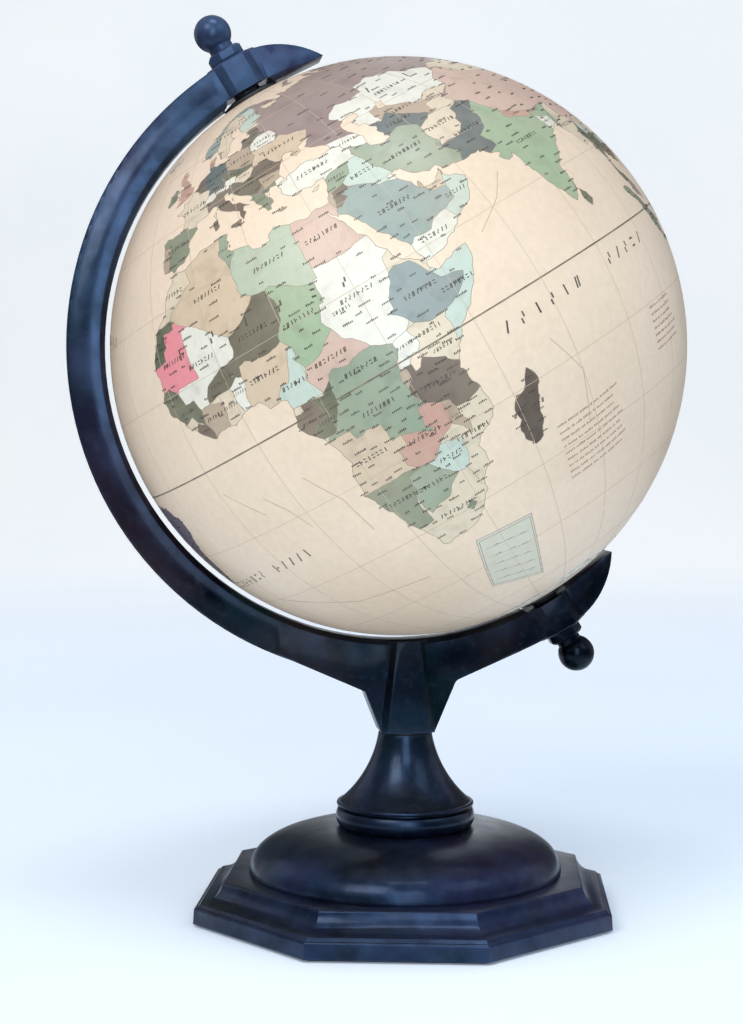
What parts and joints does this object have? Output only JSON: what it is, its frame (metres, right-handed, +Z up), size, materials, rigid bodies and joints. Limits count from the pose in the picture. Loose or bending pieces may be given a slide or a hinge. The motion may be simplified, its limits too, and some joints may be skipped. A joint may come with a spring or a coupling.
{
  "type": "tabletop globe",
  "caption": "Tabletop terrestrial globe in aged parchment colours, spinning between two axle pins in a dark meridian arm that swivels on a trumpet stem and octagonal base.",
  "frame": {"origin": "centre of the base's underside, on the stem's axis", "axes": "+Z up along the stem; the base's front flat faces -Y; the arm stands in a plane turned 10.9 degrees about +Z from the X-Z plane, with the north pole leaning towards -X"},
  "size_m": [0.2197, 0.2056, 0.3206],
  "materials": {
    "stand_black": "moulded plastic in near-black with a glossy, slightly uneven antique lacquer",
    "cap_black": "dark moulded nylon",
    "nylon": "dark nylon",
    "cast_weight": "raw cast",
    "board": "hard fibreboard",
    "felt": "dark green baize",
    "zinc_steel": "zinc-plated",
    "brass": "turned",
    "shell_board": "pressed board",
    "map_paper": "printed parchment-coloured paper under clear lacquer"
  },
  "bodies": {
    "base": {"base_plinth": "stand_black", "base_dome": "stand_black", "stem_collar": "stand_black", "stem": "stand_black", "stem_bush": "nylon", "base_weight": "cast_weight", "bottom_cover": "board", "cover_screws": "zinc_steel", "felt_pad": "felt", "rod_washer": "zinc_steel"},
    "arm": {"meridian_arm": "stand_black", "arm_insert": "brass", "tie_rod": "zinc_steel", "tie_rod_nut": "zinc_steel", "spring_washer": "zinc_steel", "north_axle_pin": "zinc_steel", "south_axle_pin": "zinc_steel", "north_spacer": "nylon", "south_spacer": "nylon", "top_finial": "stand_black", "bottom_finial": "stand_black"},
    "globe": {"north_hemisphere": "shell_board", "south_hemisphere": "shell_board", "seam_ring": "shell_board", "north_map": "map_paper", "south_map": "map_paper", "north_pole_bush": "cap_black", "south_pole_bush": "cap_black"}
  },
  "joints": [
    {"name": "arm_swivel", "type": "hinge", "parent": "base", "child": "arm", "pos_m": [0, 0, 0.065], "axis": [0, 0, 1], "continuous": true},
    {"name": "globe_spin", "type": "hinge", "parent": "arm", "child": "globe", "pos_m": [-0.00265, -0.00051, 0.2033], "axis": [-0.5043, -0.0971, 0.8581], "continuous": true}
  ]
}
